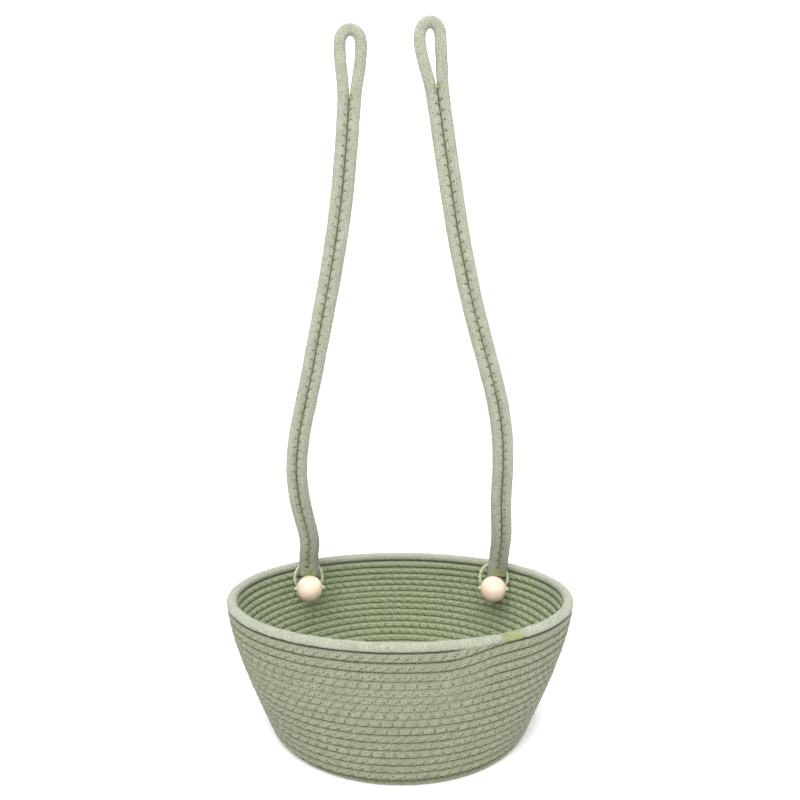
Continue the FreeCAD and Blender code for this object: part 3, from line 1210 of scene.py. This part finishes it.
def bead_frame(side):
    """Direction of the bead's cord, the bore's direction and the bead's centre, in metres."""
    turn = math.radians(BEAD_TURN_DEG)
    normal = Vector((SIDE_SIGN[side] * math.sin(turn), math.cos(turn), 0))
    sideways = Vector((normal.y, -normal.x, 0))
    x, y = BEAD_AT[side]
    return normal, sideways, Vector((x, y, BEAD_Z)) * MM


class OBJECT_OT_basket_button_loops(bpy.types.Operator):
    """Hang the twisted loops that button over the beads"""

    bl_idname = "object.basket_button_loops"
    bl_label = "Button loops"

    def execute(self, context):
        for side in SIDE_SIGN:
            normal, sideways, centre = bead_frame(side)
            halves = [(-across, z, behind) for across, z, behind in LOOP_ROUTE] + LOOP_ROUTE[-2::-1]
            route = []
            for across, z, behind in halves:
                place = centre + sideways * (across * MM) + normal * (behind * MM)
                route.append(Vector((place.x, place.y, z * MM)))
            line = nurbs_line(route)
            mesh = line_mesh("button_loop", line, {})
            inputs = {"Cord Radius": LOOP_CORD_R * MM, "Lay Length": 0.0052}
            name = side + "_button_loop_cord"
            piece = grow(name, twisted_cord_tree, mesh, inputs, MATERIALS["thin_cord"])
            declare(piece, side + "_button_loop", [side + "_button_loop"])
        return {"FINISHED"}


class OBJECT_OT_basket_beads(bpy.types.Operator):
    """Turn the beads and tie each to the wall with its cord"""

    bl_idname = "object.basket_beads"
    bl_label = "Beads and cords"

    def execute(self, context):
        for side in SIDE_SIGN:
            self.bead(side, context.scene.basket_sizes.bead_radius)
            self.cord(side)
            self.knot(side)
        return {"FINISHED"}

    def bead(self, side, radius):
        """A ball with an eased bore, turned about the bore's axis."""
        normal, sideways, centre = bead_frame(side)
        bore = BORE_R * MM
        edge = math.asin((bore + 0.0006) / radius)
        outline = []
        for i in range(41):
            angle = edge + (math.pi - 2 * edge) * i / 40
            outline.append((radius * math.cos(angle), radius * math.sin(angle)))
        end = outline[0][0]
        outline += [
            (-end + 0.0004, bore + 0.0001), (-end + 0.001, bore),
            (end - 0.001, bore), (end - 0.0004, bore + 0.0001)]
        turns = 56
        up = Vector((0, 0, 1))
        points, faces = [], []
        for i in range(turns):
            angle = 2 * math.pi * i / turns
            spoke = normal * math.cos(angle) + up * math.sin(angle)
            points += [centre + sideways * across + spoke * away for across, away in outline]
        size = len(outline)
        for i in range(turns):
            for j in range(size):
                here, there = i * size, (i + 1) % turns * size
                faces.append((here + j, here + (j + 1) % size, there + (j + 1) % size, there + j))
        mesh = bpy.data.meshes.new(side + "_bead_turned")
        mesh.from_pydata([tuple(p) for p in points], [], faces)
        mesh.polygons.foreach_set("use_smooth", [True] * len(mesh.polygons))
        mesh.materials.append(MATERIALS["bead_wood"])
        piece = finished_object(side + "_bead_turned", mesh)
        declare(piece, side + "_bead", [side + "_bead"])

    def cord(self, side):
        """Out of the wall, through the bead and back into the wall, as a closed loop."""
        normal, sideways, centre = bead_frame(side)
        bend = CORD_BEND_R * MM
        anchor = centre + normal * ((self.knot_place(side) - centre).dot(normal) - 0.002)

        def bent(degrees):
            angle = math.radians(degrees)
            return centre + (sideways * math.cos(angle) + normal * math.sin(angle)) * bend

        route = [anchor - sideways * 0.0012, centre + normal * bend * 1.1 - sideways * 0.002]
        route += [bent(degrees) for degrees in range(115, 176, 20)]
        route += [centre + sideways * bend * share for share in (-1.0, -0.7, 0.7, 1.0)]
        route += [bent(degrees) for degrees in range(5, 66, 20)]
        route += [centre + normal * bend * 1.1 + sideways * 0.002, anchor + sideways * 0.0012]
        mesh = line_mesh("bead_cord", nurbs_line(route, 12), {})
        inputs = {"Cord Radius": BEAD_CORD_R * MM, "Lay Length": CORD_LAY}
        piece = grow(side + "_bead_cord_laid", twisted_cord_tree, mesh, inputs, MATERIALS["thin_cord"])
        declare(piece, "basket", [side + "_bead_cord"])

    def knot_place(self, side):
        low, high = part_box(side + "_bead_knot")
        return (Vector(low) + Vector(high)) / 2

    def knot(self, side):
        """An overhand knot outside the wall."""
        normal, sideways, _ = bead_frame(side)
        middle = self.knot_place(side)
        up = Vector((0, 0, 1))
        route = []
        for i in range(48):
            t = 2 * math.pi * i / 48
            wide = (math.sin(t) + 2 * math.sin(2 * t)) * KNOT_WIDTH
            tall = (math.cos(t) - 2 * math.cos(2 * t)) * KNOT_WIDTH
            deep = -math.sin(3 * t) * KNOT_DEPTH
            route.append(middle + (sideways * wide + up * tall + normal * deep) * MM)
        mesh = line_mesh("bead_knot", route, {}, closed=True)
        inputs = {"Cord Radius": BEAD_CORD_R * MM, "Lay Length": CORD_LAY}
        piece = grow(side + "_bead_knot_tied", twisted_cord_tree, mesh, inputs, MATERIALS["thin_cord"])
        declare(piece, "basket", [side + "_bead_knot"])


class OBJECT_OT_basket_stage(bpy.types.Operator):
    """Set the floor, the lights and the camera"""

    bl_idname = "object.basket_stage"
    bl_label = "Stage"

    def execute(self, context):
        self.floor(context.scene.basket_colours.floor)
        self.lights()
        self.camera()
        return {"FINISHED"}

    def floor(self, colour):
        """A floor that curves up into a backdrop."""
        section = [(FLOOR_NEAR, 0.0)]
        for i in range(13):
            angle = math.pi / 2 * i / 12
            y = FLOOR_FAR - FLOOR_BEND + FLOOR_BEND * math.sin(angle)
            section.append((y, FLOOR_BEND - FLOOR_BEND * math.cos(angle)))
        section.append((FLOOR_FAR, FLOOR_TOP))
        sides = (-FLOOR_HALF_WIDTH, FLOOR_HALF_WIDTH)
        points = [(x, y, z - FLOOR_DROP) for y, z in section for x in sides]
        faces = [(2 * i, 2 * i + 1, 2 * i + 3, 2 * i + 2) for i in range(len(section) - 1)]
        mesh = bpy.data.meshes.new("floor")
        mesh.from_pydata(points, [], faces)
        mesh.polygons.foreach_set("use_smooth", [True] * len(mesh.polygons))
        mesh.materials.append(plain_material("floor", colour, 0.9))
        floor = bpy.data.objects.new("floor", mesh)
        bpy.context.scene.collection.objects.link(floor)

    def lights(self):
        """A large soft key from the upper left, a weaker fill and light from above."""
        for name, (place, size, power) in LIGHTS.items():
            data = bpy.data.lights.new(name, "AREA")
            data.size = size
            data.energy = power
            light = bpy.data.objects.new(name, data)
            light.location = place
            aim = Vector(LIGHTS_AIM) - light.location
            light.rotation_euler = aim.to_track_quat("-Z", "Y").to_euler()
            bpy.context.scene.collection.objects.link(light)
        world = bpy.data.worlds.new("studio")
        world.use_nodes = True
        tree = world.node_tree
        background = tree.nodes["Background"]
        background.inputs["Color"].default_value = (1.0, 1.0, 1.0, 1.0)
        seen = made(tree, "ShaderNodeLightPath", out="Is Camera Ray")
        plug(tree, background.inputs["Strength"], seen * WORLD_SEEN_MORE + WORLD_STRENGTH)
        bpy.context.scene.world = world
        bpy.context.scene.view_settings.view_transform = "Standard"

    def camera(self):
        data = bpy.data.cameras.new("camera")
        data.lens = CAMERA_LENS
        data.sensor_width = 36.0
        camera = bpy.data.objects.new("camera", data)
        camera.location = CAMERA_PLACE
        camera.rotation_euler = (math.radians(CAMERA_TILT_DEG), 0.0, 0.0)
        bpy.context.scene.collection.objects.link(camera)
        bpy.context.scene.camera = camera


class VIEW3D_PT_rope_basket(bpy.types.Panel):
    """Settings and steps of the hanging basket"""

    bl_idname = "VIEW3D_PT_rope_basket"
    bl_label = "Rope Basket"
    bl_space_type = "VIEW_3D"
    bl_region_type = "UI"
    bl_category = "Rope Basket"

    def draw(self, context):
        layout = self.layout
        for settings in (context.scene.basket_sizes, context.scene.basket_colours):
            box = layout.box()
            for name in settings.__annotations__:
                box.prop(settings, name)
        for step in STEPS:
            layout.operator(step.bl_idname)


STEPS = (
    OBJECT_OT_basket_finishes,
    OBJECT_OT_basket_coil,
    OBJECT_OT_basket_seams,
    OBJECT_OT_basket_rim,
    OBJECT_OT_basket_straps,
    OBJECT_OT_basket_button_loops,
    OBJECT_OT_basket_beads,
    OBJECT_OT_basket_stage,
)
CLASSES = (BasketSizes, BasketColours, *STEPS, VIEW3D_PT_rope_basket)


def register():
    for cls in CLASSES:
        bpy.utils.register_class(cls)
    bpy.types.Scene.basket_sizes = bpy.props.PointerProperty(type=BasketSizes)
    bpy.types.Scene.basket_colours = bpy.props.PointerProperty(type=BasketColours)


def unregister():
    del bpy.types.Scene.basket_colours
    del bpy.types.Scene.basket_sizes
    for cls in reversed(CLASSES):
        bpy.utils.unregister_class(cls)


def main():
    register()
    bpy.ops.object.basket_finishes()
    bpy.ops.object.basket_coil()
    bpy.ops.object.basket_seams()
    bpy.ops.object.basket_rim()
    bpy.ops.object.basket_straps()
    bpy.ops.object.basket_button_loops()
    bpy.ops.object.basket_beads()
    bpy.ops.object.basket_stage()


if __name__ == "__main__":
    main()
